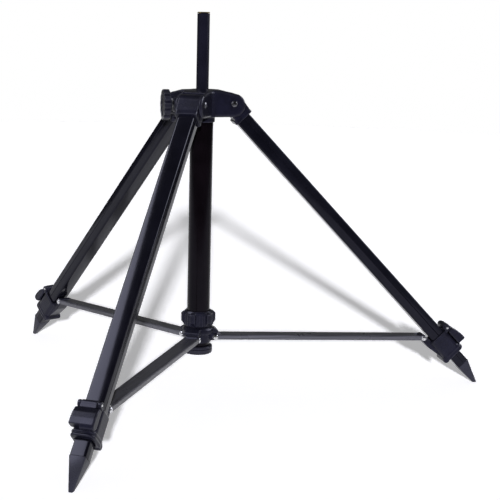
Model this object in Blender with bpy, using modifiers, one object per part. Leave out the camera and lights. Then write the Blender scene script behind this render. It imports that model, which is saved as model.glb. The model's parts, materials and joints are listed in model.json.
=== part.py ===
"""Low field tripod: a crown with three folding legs, spreader arms on a sliding hub, and a centre post.

Metres, +Z up, feet on z = 0. Leg B points along -Y, legs A and C stand at 120 degrees to it.
Each leg is modelled in its own frame: X points away from the leg's outer face, Y across the leg,
and -Z down the leg from the level of its top pivot, with the leg's centre line on x = y = 0.
"""
import math

import bmesh
import bpy
from mathutils import Matrix, Vector

# ---------------------------------------------------------------- driving dimensions
GAP = 0.0003                 # air between pieces that touch or fit in each other
RUN = 0.0002                 # extra air where a piece slides or turns
MERGE = 0.0002               # how far fused shapes are sunk into each other
BEYOND = 0.010               # how far a cutter reaches past what it cuts

AZIMUTHS = {"a": math.radians(30), "b": math.radians(-90), "c": math.radians(150)}

TOTAL_HEIGHT = 0.469         # feet to the top of the post
CROWN_PIN_Z, HUB_PIN_Z = 0.361, 0.072
EAR_PIN_R, EAR_PIN_Z = 0.2925, 0.0628
FOOT_R = 0.3675              # radius of the circle that the foot tips stand on

TUBE_R, TUBE_WALL = 0.014, 0.0012
TUBE_BOTTOM, TUBE_TOP = 0.062, 0.350
CAP_STEP, CAP_FLANGE, CAP_PLUG, CAP_CHAMFER = 0.004, 0.010, 0.010, 0.0022

POST_R, POST_WALL, POST_LENGTH = 0.0075, 0.0015, 0.300
INSERT_FLANGE, INSERT_DEPTH, INSERT_FLOOR, INSERT_RIM, THREAD_R = 0.0014, 0.022, 0.003, 0.0004, 0.0041
GUIDE_HEIGHT, GUIDE_SPIGOT, GUIDE_CHAMFER = 0.009, 0.011, 0.0008

CROWN_BOTTOM, CROWN_CREST, CROWN_NECK = 0.3447, 0.3778, 0.338
NECK_WALL, SOCKET_TOP = 0.0015, 0.3515
BODY_STEP, CROWN_PIN_STEP = 0.0052, 0.0153   # from the neck out to the body, and on to the leg pivots
CREST_FALL, SHOULDER_FALL = 0.0013, 0.0016   # how far the dome has dropped at its rim and past it
LOBE_WIDTH, CHEEK = 0.034, 0.0032
LOBE_END_R, LOBE_END_DROP = 0.01425, 0.002
LOBE_ROOT, LOBE_SINK = 0.010, 0.0004   # each lobe starts inside the body, a little below its faces
ROOF_BACK = 0.0063           # the roof between two cheeks stops this far inside their pivot

BOSS_R, BOSS_STEP, BOSS_Z = 0.0085, 0.0145, 0.3586
KNOB_AZIMUTH = AZIMUTHS["a"] + math.pi
KNOB_R, KNOB_THICK, KNOB_NECK, KNOB_FLUTES = 0.0185, 0.008, 0.003, 12
KNOB_FACE = 0.0025           # knob material over the end of the screw
SCREW_R, PAD_LENGTH = 0.003, 0.0015

PIVOT_R, PIVOT_HEAD_R, PIVOT_HEAD = 0.0024, 0.0042, 0.0016
PIN_R, PIN_HEAD_R, PIN_HEAD = 0.0022, 0.0033, 0.0012

HUB_BOTTOM, HUB_SKIRT, HUB_TOP = 0.066, 0.0772, 0.086
HUB_WALL, HUB_DOME_STEP, HUB_EAR_STEP, HUB_PIN_STEP = 0.0018, 0.0032, 0.0080, 0.0045
EAR_RADIUS = 0.0040          # rounded end of each tongue, about its pin
COLLAR_HEIGHT, COLLAR_WALL, COLLAR_WING_STEP, COLLAR_WINGS = 0.0196, 0.0018, 0.0033, 6
WING_WIDTH, WING_DROP, WING_TOP, WING_FOOT, WING_END = 0.0062, 0.001, 0.0035, 0.0135, 0.0175
BROW_MARGIN = 0.0012         # how much wider than its tongue each brow of the hub is, each side
COLLET_WALL, COLLET_HEIGHT, COLLET_SPLIT = 0.0014, 0.014, 0.0016

ARM_WIDTH, ARM_HEIGHT, ARM_WALL = 0.0193, 0.006, 0.0012
ARM_TOP = 0.0032             # from the pin line up to the face of the web
ARM_OVERHANG = 0.0042        # flange beyond each pin
WEB_CUT = 0.0060             # web stops this far from each pin

LEG_WIDTH, LEG_DEPTH, LEG_WALL, LEG_CORNER = 0.0216, 0.0192, 0.0011, 0.0032
INNER_WIDTH, INNER_DEPTH, INNER_WALL, INNER_CORNER = 0.0186, 0.0162, 0.0011, 0.0026
PIN_OFFSET = 0.0029          # top pivot, outward of the leg's centre line
EAR_OFFSET = 0.0062          # ear pin, inward of the leg's inner face

BARREL_R = 0.012
SHOULDER_TOP, SHOULDER_BOTTOM = 0.0167, 0.0223
SHOULDER_OUT, SHOULDER_IN = 0.0036, 0.0020
CAP_PLUG_LENGTH = 0.020

HOUSING_LENGTH, HOUSING_WALL, HOUSING_CORNER = 0.034, 0.0027, 0.0035
HOUSING_OUT, HOUSING_IN = 0.0024, 0.0045
HOUSING_BELOW_EAR = 0.0114   # from the ear pin down to the top of the housing
HOUSING_STEP = 0.0078        # length of the lower, narrower bore
HOUSING_FOOT_R, HOUSING_LIP_R = 0.0042, 0.0030

LEVER_PIN_OUT, LEVER_PIN_R = 0.0056, 0.0016   # pin beyond the leg's outer face
LEVER_BOSS_R, LEVER_WIDTH, LUG_R, LUG_WIDTH = 0.0044, 0.028, 0.0040, 0.0042
LEVER_LENGTH, LEVER_RISE, LEVER_SEAT, LUG_CLEAR = 0.0315, 0.0082, 0.0005, 0.0012
LEVER_TIP_THICK, LEVER_NOTCH = 0.0040, 0.0040

INNER_SHOWN, INNER_OVERLAP = 0.018, 0.290
LEG_GUIDE = 0.012
SPIKE_PLUG = 0.016
TIP_HALF_LENGTH, TIP_HALF_WIDTH = 0.0028, 0.0026

# ---------------------------------------------------------------- places that follow from them
CROWN_NECK_R = TUBE_R + GAP + NECK_WALL
BODY_R = CROWN_NECK_R + BODY_STEP
CROWN_PIN_R = BODY_R + CROWN_PIN_STEP
ROOF_END = CROWN_PIN_R - ROOF_BACK
BOSS_END = BODY_R + BOSS_STEP
CAP_R = TUBE_R + CAP_STEP
SLIDE_R = TUBE_R + GAP + RUN
HUB_BARREL_R = SLIDE_R + HUB_WALL
HUB_DOME_R = HUB_BARREL_R + HUB_DOME_STEP
HUB_EAR_R = HUB_BARREL_R + HUB_EAR_STEP
HUB_PIN_R = HUB_BARREL_R + HUB_PIN_STEP
COLLET_R = SLIDE_R + COLLET_WALL
COLLAR_R = COLLET_R + GAP + COLLAR_WALL
COLLAR_WING_R = COLLAR_R + COLLAR_WING_STEP
EAR_N = -(LEG_DEPTH / 2 + EAR_OFFSET)
_pin_to_ear = Vector((EAR_PIN_R - CROWN_PIN_R, EAR_PIN_Z - CROWN_PIN_Z))
_lean = math.asin((PIN_OFFSET - EAR_N) / _pin_to_ear.length)
LEG_TILT = math.atan2(_pin_to_ear.x, -_pin_to_ear.y) + _lean
EAR_S = _pin_to_ear.length * math.cos(_lean)
HOUSING_TOP_S = EAR_S + HOUSING_BELOW_EAR
HOUSING_BOTTOM_S = HOUSING_TOP_S + HOUSING_LENGTH
LEG_END_S = HOUSING_BOTTOM_S - HOUSING_STEP
SPIKE_TOP_S = HOUSING_BOTTOM_S + INNER_SHOWN
LEG_BORE_WIDTH, LEG_BORE_DEPTH = LEG_WIDTH - 2 * LEG_WALL, LEG_DEPTH - 2 * LEG_WALL
ARM_LENGTH = math.hypot(EAR_PIN_R - HUB_PIN_R, EAR_PIN_Z - HUB_PIN_Z)
ARM_SLOPE = math.atan2(HUB_PIN_Z - EAR_PIN_Z, EAR_PIN_R - HUB_PIN_R)
TONGUE_WIDTH = ARM_WIDTH - 2 * ARM_WALL - 2 * GAP
FORK_GAP = LOBE_WIDTH - 2 * CHEEK
CAP_WIDTH = FORK_GAP - 2 * GAP
FOOT_OUTER_R = FOOT_R + TIP_HALF_LENGTH
AXIS_Y = (FOOT_OUTER_R / 2 - TIP_HALF_WIDTH * math.cos(math.radians(30))) / 2
POST_TOP = TOTAL_HEIGHT - INSERT_FLANGE - GAP

# ---------------------------------------------------------------- scene and materials
for old in list(bpy.data.objects):
    bpy.data.objects.remove(old, do_unlink=True)
parts = bpy.data.collections.new("field_tripod")
guides = bpy.data.collections.new("field_tripod_cutters")
for collection in (parts, guides):
    bpy.context.scene.collection.children.link(collection)


def material(name, colour, roughness, metallic):
    made = bpy.data.materials.new(name)
    made.use_nodes = True
    shader = made.node_tree.nodes["Principled BSDF"]
    shader.inputs["Base Color"].default_value = (*colour, 1)
    shader.inputs["Roughness"].default_value = roughness
    shader.inputs["Metallic"].default_value = metallic
    made.diffuse_color = (*colour, 1)
    return made


BLACK_ALUMINIUM = material("black_anodised_aluminium", (0.020, 0.020, 0.026), 0.30, 0.9)
BLACK_STEEL = material("black_painted_steel", (0.030, 0.030, 0.034), 0.35, 0.3)
BLACK_NYLON = material("black_nylon", (0.022, 0.022, 0.028), 0.50, 0.0)
BRIGHT_STEEL = material("bright_rivet_steel", (0.75, 0.75, 0.74), 0.25, 1.0)
BRASS = material("brass", (0.45, 0.36, 0.16), 0.35, 1.0)


# ---------------------------------------------------------------- modelling helpers
def own(obj, cutter=False):
    """Move an object into the parts or the cutters collection."""
    for held in list(obj.users_collection):
        held.objects.unlink(obj)
    (guides if cutter else parts).objects.link(obj)
    if cutter:
        obj.hide_render = True
        obj.display_type = "WIRE"
    return obj


def new_object(name, bm):
    mesh = bpy.data.meshes.new(name)
    bmesh.ops.recalc_face_normals(bm, faces=bm.faces)
    bm.to_mesh(mesh)
    bm.free()
    obj = bpy.data.objects.new(name, mesh)
    bpy.context.scene.collection.objects.link(obj)
    return own(obj)


def block(name, low, high):
    """A box between two corners."""
    low, high = Vector(low), Vector(high)
    bm = bmesh.new()
    size = Matrix.Diagonal((*(high - low), 1))
    bmesh.ops.create_cube(bm, size=1, matrix=Matrix.Translation((low + high) / 2) @ size)
    return new_object(name, bm)


def rod(name, radius, start, end, segments=24, end_radius=None):
    """A cylinder or cone frustum between two points."""
    start, end = Vector(start), Vector(end)
    turn = (end - start).to_track_quat("Z", "Y").to_matrix().to_4x4()
    place = Matrix.Translation((start + end) / 2) @ turn
    bm = bmesh.new()
    bmesh.ops.create_cone(bm, cap_ends=True, segments=segments, radius1=radius,
                          radius2=radius if end_radius is None else end_radius,
                          depth=(end - start).length, matrix=place)
    obj = new_object(name, bm)
    shade(obj)
    return obj


def shade(obj, angle=35):
    obj.data.shade_smooth()
    obj.data.set_sharp_from_angle(angle=math.radians(angle))


def flat(name, outlines, half_thickness, upright=True):
    """Closed outlines, filled and extruded both ways: across Y when upright, else along Z."""
    curve = bpy.data.curves.new(name + "_outline", "CURVE")
    curve.dimensions = "2D"
    curve.fill_mode = "BOTH"
    curve.extrude = half_thickness
    for outline in outlines:
        spline = curve.splines.new("POLY")
        spline.points.add(len(outline) - 1)
        for point, (x, y) in zip(spline.points, outline):
            point.co = (x, y, 0, 1)
        spline.use_cyclic_u = True
    drawn = bpy.data.objects.new(name + "_outline", curve)
    bpy.context.scene.collection.objects.link(drawn)
    bpy.context.view_layer.update()
    mesh = bpy.data.meshes.new_from_object(drawn.evaluated_get(bpy.context.evaluated_depsgraph_get()))
    bpy.data.objects.remove(drawn)
    bm = bmesh.new()
    bm.from_mesh(mesh)
    bmesh.ops.remove_doubles(bm, verts=bm.verts, dist=1e-6)
    if upright:
        bm.transform(Matrix.Rotation(math.pi / 2, 4, "X"))
    bpy.data.meshes.remove(mesh)
    obj = new_object(name, bm)
    shade(obj)
    return obj


def turned(name, profile, segments=32):
    """A profile of (radius, height) points, listed down its outer side, turned about Z.

    A solid profile starts and ends on the axis; any other is closed into a ring.
    """
    mesh = bpy.data.meshes.new(name)
    count = len(profile)
    solid = profile[0][0] == 0 and profile[-1][0] == 0
    edges = [(i, (i + 1) % count) for i in range(count - 1 if solid else count)]
    mesh.from_pydata([(r, 0, z) for r, z in profile], edges, [])
    obj = bpy.data.objects.new(name, mesh)
    bpy.context.scene.collection.objects.link(obj)
    screw = obj.modifiers.new("turn", "SCREW")
    screw.steps = screw.render_steps = segments
    screw.use_merge_vertices = True
    screw.merge_threshold = 1e-6
    screw.use_smooth_shade = False
    return own(obj)


def arc(centre, radius, start, end, steps):
    """Points on an arc, degrees measured from +X towards the second axis."""
    cx, cy = centre
    angles = [math.radians(start + (end - start) * i / steps) for i in range(steps + 1)]
    return [(cx + radius * math.cos(a), cy + radius * math.sin(a)) for a in angles]


def rounded(width_x, width_y, corner, steps=3):
    """Outline of a rectangle with round corners, centred on the origin."""
    hx, hy = width_x / 2 - corner, width_y / 2 - corner
    outline = []
    for cx, cy, start in ((hx, hy, 0), (-hx, hy, 90), (-hx, -hy, 180), (hx, -hy, 270)):
        outline += arc((cx, cy), corner, start, start + 90, steps)
    return outline


def boolean(obj, tools, operation):
    for tool in tools:
        own(tool, cutter=True)
        step = obj.modifiers.new(operation.lower(), "BOOLEAN")
        step.operation = operation
        step.object = tool
    return obj


def cut(obj, *tools):
    return boolean(obj, tools, "DIFFERENCE")


def fuse(obj, *tools):
    return boolean(obj, tools, "UNION")


def turn_z(obj, angle):
    """Turn a shape about Z in its own mesh."""
    obj.data.transform(Matrix.Rotation(angle, 4, "Z"))
    return obj


def place(obj, parent, finish=None):
    """Hang a piece, with its cutters, on an empty and give it its material."""
    obj.parent = parent
    for step in obj.modifiers:
        if step.type == "BOOLEAN":
            place(step.object, parent)
    if finish is not None:
        obj.data.materials.append(finish)
    return obj


def empty(name, location, rotation=(0, 0, 0), parent=None):
    made = bpy.data.objects.new(name, None)
    made.empty_display_size = 0.01
    made.location = location
    made.rotation_euler = rotation
    made.parent = parent
    parts.objects.link(made)
    return made


def at_radius(radius, azimuth, z):
    return (radius * math.cos(azimuth), radius * math.sin(azimuth), z)


# ---------------------------------------------------------------- crown, tube and end cap
def lobe_outline():
    """Side view of one lobe: flat bottom, round outer end, top rising to the crest."""
    end = arc((CROWN_PIN_R, CROWN_PIN_Z - LOBE_END_DROP), LOBE_END_R, -90, 78, 8)
    crest = CROWN_CREST - LOBE_SINK
    shoulder = (BODY_R + 0.001, crest - SHOULDER_FALL)
    return [(LOBE_ROOT, CROWN_BOTTOM)] + end + [shoulder, (LOBE_ROOT, crest)]


def fork_cutters(azimuth):
    """Room between a lobe's two cheeks: a round pocket, open outward and downward."""
    pocket_r = BARREL_R + GAP + RUN
    back = CROWN_PIN_R - pocket_r
    beyond = CROWN_PIN_R + LOBE_END_R + BEYOND
    below, above = CROWN_NECK - BEYOND, CROWN_CREST + BEYOND
    roof_angle = math.degrees(math.acos((ROOF_END - CROWN_PIN_R) / pocket_r))
    room = [(beyond, below), (beyond, above), (ROOF_END, above)]
    room += arc((CROWN_PIN_R, CROWN_PIN_Z), pocket_r, roof_angle, 180, 6) + [(back, below)]
    fork = flat("fork_room", [room], FORK_GAP / 2)
    pin_hole = rod("pivot_hole", PIVOT_R + GAP, (CROWN_PIN_R, -LOBE_WIDTH, CROWN_PIN_Z),
                   (CROWN_PIN_R, LOBE_WIDTH, CROWN_PIN_Z), 18)
    return [turn_z(tool, azimuth) for tool in (fork, pin_hole)]


def along_knob(radius, start, end, name, segments=24):
    """A rod on the knob's axis, between two distances from the post's axis."""
    return rod(name, radius, at_radius(start, KNOB_AZIMUTH, BOSS_Z),
               at_radius(end, KNOB_AZIMUTH, BOSS_Z), segments)


def build_crown(axis):
    low = CROWN_BOTTOM - LOBE_SINK
    crown = turned("crown", [(0, CROWN_CREST), (LOBE_ROOT, CROWN_CREST), (BODY_R, CROWN_CREST - CREST_FALL),
                             (BODY_R, low), (CROWN_NECK_R, low), (CROWN_NECK_R, CROWN_NECK),
                             (0, CROWN_NECK)], 36)
    lobes = [cut(turn_z(flat("lobe_" + leg, [lobe_outline()], LOBE_WIDTH / 2), azimuth),
                 *fork_cutters(azimuth)) for leg, azimuth in AZIMUTHS.items()]
    boss = along_knob(BOSS_R, LOBE_ROOT, BOSS_END, "knob_boss")
    fuse(crown, *lobes, boss)
    socket = rod("tube_socket", TUBE_R + GAP, (0, 0, CROWN_NECK - BEYOND), (0, 0, SOCKET_TOP), 36)
    bore = rod("post_bore", POST_R + GAP, (0, 0, CROWN_NECK), (0, 0, CROWN_CREST + BEYOND), 36)
    screw_bore = along_knob(SCREW_R + GAP, POST_R / 2, BOSS_END + BEYOND, "screw_bore", 16)
    cut(crown, socket, bore, screw_bore)
    place(crown, axis, BLACK_NYLON)


def build_pivot_screws(axis):
    """Six headed screws, one through each cheek, ending flush inside the fork."""
    inside, outside = FORK_GAP / 2 + GAP, LOBE_WIDTH / 2 + GAP
    for leg, azimuth in AZIMUTHS.items():
        for side, sign in (("left", 1), ("right", -1)):
            screw = rod(f"pivot_screw_{leg}_{side}", PIVOT_R, (CROWN_PIN_R, sign * inside, CROWN_PIN_Z),
                        (CROWN_PIN_R, sign * (outside + PIVOT_HEAD / 2), CROWN_PIN_Z), 16)
            head = rod("screw_head", PIVOT_HEAD_R, (CROWN_PIN_R, sign * outside, CROWN_PIN_Z),
                       (CROWN_PIN_R, sign * (outside + PIVOT_HEAD), CROWN_PIN_Z), 20, PIVOT_HEAD_R * 0.8)
            fuse(screw, head)
            turn_z(screw, azimuth)
            turn_z(head, azimuth)
            place(screw, axis, BRIGHT_STEEL)


def build_tube(axis):
    inner = TUBE_R - TUBE_WALL
    tube = turned("centre_tube", [(TUBE_R, TUBE_TOP), (TUBE_R, TUBE_BOTTOM),
                                  (inner, TUBE_BOTTOM), (inner, TUBE_TOP)])
    place(tube, axis, BLACK_ALUMINIUM)
    plug = inner - GAP
    flange_top = TUBE_BOTTOM - GAP
    bottom = flange_top - CAP_FLANGE
    cap = turned("tube_end_cap", [(0, flange_top + CAP_PLUG), (plug - 0.001, flange_top + CAP_PLUG),
                                  (plug, flange_top + CAP_PLUG - 0.001), (plug, flange_top),
                                  (CAP_R - CAP_CHAMFER, flange_top), (CAP_R, flange_top - CAP_CHAMFER),
                                  (CAP_R, bottom + CAP_CHAMFER), (CAP_R - CAP_CHAMFER, bottom), (0, bottom)])
    place(cap, axis, BLACK_NYLON)


# ---------------------------------------------------------------- centre post
def build_post(axis):
    bore = POST_R - POST_WALL
    base = POST_TOP - POST_LENGTH
    post = turned("post_tube", [(POST_R, POST_TOP), (POST_R, base), (bore, base), (bore, POST_TOP)], 24)
    place(post, axis, BLACK_ALUMINIUM)

    stem = bore - GAP
    flange_base = TOTAL_HEIGHT - INSERT_FLANGE
    end = TOTAL_HEIGHT - INSERT_DEPTH
    insert = turned("threaded_insert", [(THREAD_R, TOTAL_HEIGHT), (POST_R - INSERT_RIM, TOTAL_HEIGHT),
                                        (POST_R, TOTAL_HEIGHT - INSERT_RIM), (POST_R, flange_base),
                                        (stem, flange_base), (stem, end), (0, end),
                                        (0, end + INSERT_FLOOR), (THREAD_R, end + INSERT_FLOOR)], 24)
    place(insert, axis, BRASS)

    guide_r = TUBE_R - TUBE_WALL - GAP
    top = base - GAP
    guide = turned("post_guide", [(0, top + GUIDE_SPIGOT), (stem, top + GUIDE_SPIGOT), (stem, top),
                                  (guide_r - GUIDE_CHAMFER, top), (guide_r, top - GUIDE_CHAMFER),
                                  (guide_r, top - GUIDE_HEIGHT), (0, top - GUIDE_HEIGHT)], 24)
    place(guide, axis, BLACK_NYLON)


def build_knob(axis):
    """Fluted clamp knob, its screw, and the pad that the screw presses on the post."""
    pad_start = POST_R + GAP
    screw_start = pad_start + PAD_LENGTH + GAP
    neck_start = BOSS_END + GAP + PAD_LENGTH
    knob_start = neck_start + KNOB_NECK
    knob_end = knob_start + KNOB_THICK
    knob = along_knob(KNOB_R, knob_start, knob_end, "lock_knob", 36)
    fuse(knob, along_knob(BOSS_R - 0.001, neck_start, knob_start + 0.001, "knob_neck"))
    flute_r = KNOB_R * math.sin(math.pi / KNOB_FLUTES) * 0.45
    across = Vector((-math.sin(KNOB_AZIMUTH), math.cos(KNOB_AZIMUTH), 0))
    outward = Vector(at_radius(1, KNOB_AZIMUTH, 0))
    centre = Vector((0, 0, BOSS_Z))
    for i in range(KNOB_FLUTES):
        angle = math.tau * (i + 0.5) / KNOB_FLUTES
        side = (across * math.cos(angle) + Vector((0, 0, math.sin(angle)))) * (KNOB_R + flute_r * 0.35)
        cut(knob, rod("flute", flute_r, centre + side + outward * (knob_start - 0.002),
                      centre + side + outward * (knob_end + 0.002), 12))
    screw_end = knob_end - KNOB_FACE
    cut(knob, along_knob(SCREW_R + GAP, neck_start - BEYOND, screw_end + GAP, "knob_bore", 16))
    place(knob, axis, BLACK_NYLON)
    place(along_knob(SCREW_R, screw_start, screw_end, "knob_screw", 16), axis, BRIGHT_STEEL)
    place(along_knob(SCREW_R - RUN, pad_start, pad_start + PAD_LENGTH, "clamp_pad", 16), axis, BRASS)


# ---------------------------------------------------------------- sliding hub
def build_hub(axis):
    hub = turned("hub", [(0, HUB_TOP), (HUB_DOME_R - 0.003, HUB_TOP), (HUB_DOME_R, HUB_TOP - 0.003),
                         (HUB_DOME_R, HUB_SKIRT), (HUB_BARREL_R, HUB_SKIRT),
                         (HUB_BARREL_R, HUB_BOTTOM), (0, HUB_BOTTOM)], 36)
    half = TONGUE_WIDTH / 2
    root = HUB_BARREL_R - 0.005
    under = HUB_SKIRT + MERGE
    tongue = arc((HUB_PIN_R, HUB_PIN_Z), EAR_RADIUS, -90, 40, 6)
    tongue += [(HUB_PIN_R + 0.001, under + 0.001), (root, under + 0.001), (root, HUB_PIN_Z - EAR_RADIUS)]
    brow = [(root, under), (HUB_EAR_R, under), (HUB_EAR_R, under + 0.002),
            (HUB_DOME_R - 0.001, HUB_TOP - 0.003), (root, HUB_TOP - 0.0035)]
    for azimuth in AZIMUTHS.values():
        fuse(hub, turn_z(flat("hub_tongue", [tongue], half), azimuth))
        fuse(hub, turn_z(flat("hub_brow", [brow], half + BROW_MARGIN), azimuth))
    for azimuth in AZIMUTHS.values():
        hole = rod("hub_pin_hole", PIN_R + GAP, (HUB_PIN_R, -ARM_WIDTH, HUB_PIN_Z),
                   (HUB_PIN_R, ARM_WIDTH, HUB_PIN_Z), 18)
        cut(hub, turn_z(hole, azimuth))
    cut(hub, rod("tube_bore", SLIDE_R, (0, 0, HUB_BOTTOM - BEYOND), (0, 0, HUB_TOP + BEYOND), 36))
    place(hub, axis, BLACK_NYLON)

    base = HUB_TOP + GAP
    collet_top = base + COLLET_HEIGHT
    collet = turned("hub_collet", [(COLLET_R, collet_top), (COLLET_R, base), (SLIDE_R, base),
                                   (SLIDE_R, collet_top)])
    cut(collet, block("collet_split", (0, -COLLET_SPLIT / 2, base - BEYOND),
                      (TUBE_R * 2, COLLET_SPLIT / 2, collet_top + BEYOND)))
    place(collet, axis, BLACK_NYLON)

    top = base + COLLAR_HEIGHT
    inner = COLLET_R + GAP
    collar = turned("lock_collar", [(SLIDE_R + MERGE, top), (COLLAR_R - 0.002, top), (COLLAR_R, top - 0.003),
                                    (COLLAR_R, base + 0.001), (COLLAR_R - 0.001, base), (inner, base),
                                    (inner, collet_top + GAP), (SLIDE_R + MERGE, collet_top + GAP)])
    for i in range(COLLAR_WINGS):
        root = inner + 2 * MERGE
        wing = flat("collar_wing", [[(root, top - WING_DROP), (COLLAR_R, top - WING_DROP),
                                     (COLLAR_WING_R, top - WING_TOP), (COLLAR_WING_R, top - WING_FOOT),
                                     (COLLAR_R - MERGE, top - WING_END),
                                     (root, top - WING_END)]], WING_WIDTH / 2)
        fuse(collar, turn_z(wing, math.tau * (i + 0.5) / COLLAR_WINGS))
    place(collar, axis, BLACK_NYLON)


# ---------------------------------------------------------------- spreader arms
def pin_with_heads(name, half_span):
    """A rivet along Y through the origin, with a low head on each end."""
    pin = rod(name, PIN_R, (0, -half_span - PIN_HEAD / 2, 0), (0, half_span + PIN_HEAD / 2, 0), 16)
    for sign in (1, -1):
        fuse(pin, rod("rivet_head", PIN_HEAD_R, (0, sign * half_span, 0),
                      (0, sign * (half_span + PIN_HEAD), 0), 16, PIN_HEAD_R * 0.7))
    return pin


def arm_side_outline():
    """Side view of an arm, round at its ends so that it clears what it is pinned to."""
    bottom = ARM_TOP - ARM_HEIGHT
    far = ARM_LENGTH + ARM_OVERHANG
    corner = -bottom
    outline = arc((far - corner, 0), corner, -90, 0, 5)
    outline += arc((far - corner, ARM_TOP - corner), corner, 0, 90, 5)
    outline += arc((-ARM_OVERHANG + corner, ARM_TOP - corner), corner, 90, 180, 5)
    outline += arc((-ARM_OVERHANG + corner, 0), corner, 180, 270, 5)
    return outline


def build_arm(axis, leg, azimuth):
    pivot = empty(f"arm_{leg}_pivot", at_radius(HUB_PIN_R, azimuth, HUB_PIN_Z), (0, ARM_SLOPE, azimuth), axis)
    arm = flat("arm_" + leg, [arm_side_outline()], ARM_WIDTH / 2)
    half = ARM_WIDTH / 2 - ARM_WALL
    reach = ARM_OVERHANG + 0.01
    web_under = ARM_TOP - ARM_WALL
    channel = block("arm_channel", (-reach, -half, -ARM_HEIGHT), (ARM_LENGTH + reach, half, web_under))
    near = block("web_cut_near", (-reach, -half, 0), (WEB_CUT, half, ARM_HEIGHT))
    far = block("web_cut_far", (ARM_LENGTH - WEB_CUT, -half, 0), (ARM_LENGTH + reach, half, ARM_HEIGHT))
    holes = [rod("arm_pin_hole", PIN_R + GAP, (x, -ARM_WIDTH, 0), (x, ARM_WIDTH, 0), 16)
             for x in (0, ARM_LENGTH)]
    cut(arm, channel, near, far, *holes)
    place(arm, pivot, BLACK_STEEL)
    place(pin_with_heads("hub_pin_" + leg, ARM_WIDTH / 2 + GAP), pivot, BRIGHT_STEEL)


# ---------------------------------------------------------------- legs
def shift(obj, x, y, z):
    obj.data.transform(Matrix.Translation((x, y, z)))
    return obj


def square_tube(name, width, depth, wall, corner, top_s, bottom_s):
    """A hollow rectangular tube down the leg's centre line."""
    outer = rounded(depth, width, corner)
    inner = rounded(depth - 2 * wall, width - 2 * wall, max(corner - wall, wall / 2))
    tube = flat(name, [outer, inner], (bottom_s - top_s) / 2, upright=False)
    return shift(tube, 0, 0, -(top_s + bottom_s) / 2)


def square_plug(name, width, depth, corner, top_s, bottom_s):
    plug = flat(name, [rounded(depth, width, corner)], (bottom_s - top_s) / 2, upright=False)
    return shift(plug, 0, 0, -(top_s + bottom_s) / 2)


def build_leg_cap(leg, frame):
    """Top fitting: a barrel between the cheeks, a shoulder on the tube, and a plug inside it."""
    half = CAP_WIDTH / 2
    cap = rod("leg_cap_" + leg, BARREL_R, (PIN_OFFSET, -half, 0), (PIN_OFFSET, half, 0), 32)
    back, front = PIN_OFFSET - BARREL_R, PIN_OFFSET + BARREL_R
    face = LEG_DEPTH / 2
    neck = flat("cap_neck", [[(front, 0), (back, 0), (back, -SHOULDER_TOP),
                              (face + SHOULDER_OUT, -SHOULDER_TOP)]], half)
    shoulder = block("cap_shoulder", (-face - SHOULDER_IN, -half, -SHOULDER_BOTTOM),
                     (face + SHOULDER_OUT, half, -SHOULDER_TOP + 0.0001))
    plug = square_plug("cap_plug", LEG_BORE_WIDTH - 2 * GAP, LEG_BORE_DEPTH - 2 * GAP,
                       LEG_CORNER - LEG_WALL, SHOULDER_BOTTOM - 0.001, SHOULDER_BOTTOM + CAP_PLUG_LENGTH)
    fuse(cap, neck, shoulder, plug)
    place(cap, frame, BLACK_NYLON)


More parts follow.
